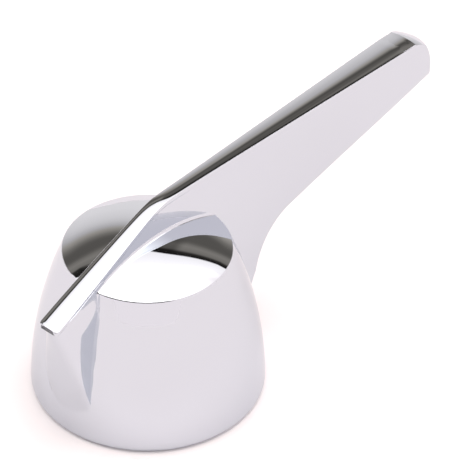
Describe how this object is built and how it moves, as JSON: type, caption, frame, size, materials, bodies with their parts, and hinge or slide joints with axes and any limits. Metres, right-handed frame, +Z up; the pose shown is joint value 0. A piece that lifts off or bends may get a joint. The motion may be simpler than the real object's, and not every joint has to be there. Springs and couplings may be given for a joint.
{
  "type": "tap handle",
  "caption": "Chrome tap handle: a hollow domed skirt, a thin fin ridge across its cap and a long flared blade lever, held on a square stem by a hidden set screw.",
  "frame": {"origin": "centre of the skirt's bottom rim, on the plane it rests on", "axes": "+Z up along the skirt's axis, +X along the lever, the XZ plane is the mirror plane"},
  "size_m": [0.1243, 0.0532, 0.0492],
  "materials": {
    "chrome_plate": "polished bright chrome",
    "screw_steel": "plain stainless"
  },
  "bodies": {
    "root": {"handle_casting": "chrome_plate", "grub_screw": "screw_steel"}
  },
  "joints": []
}
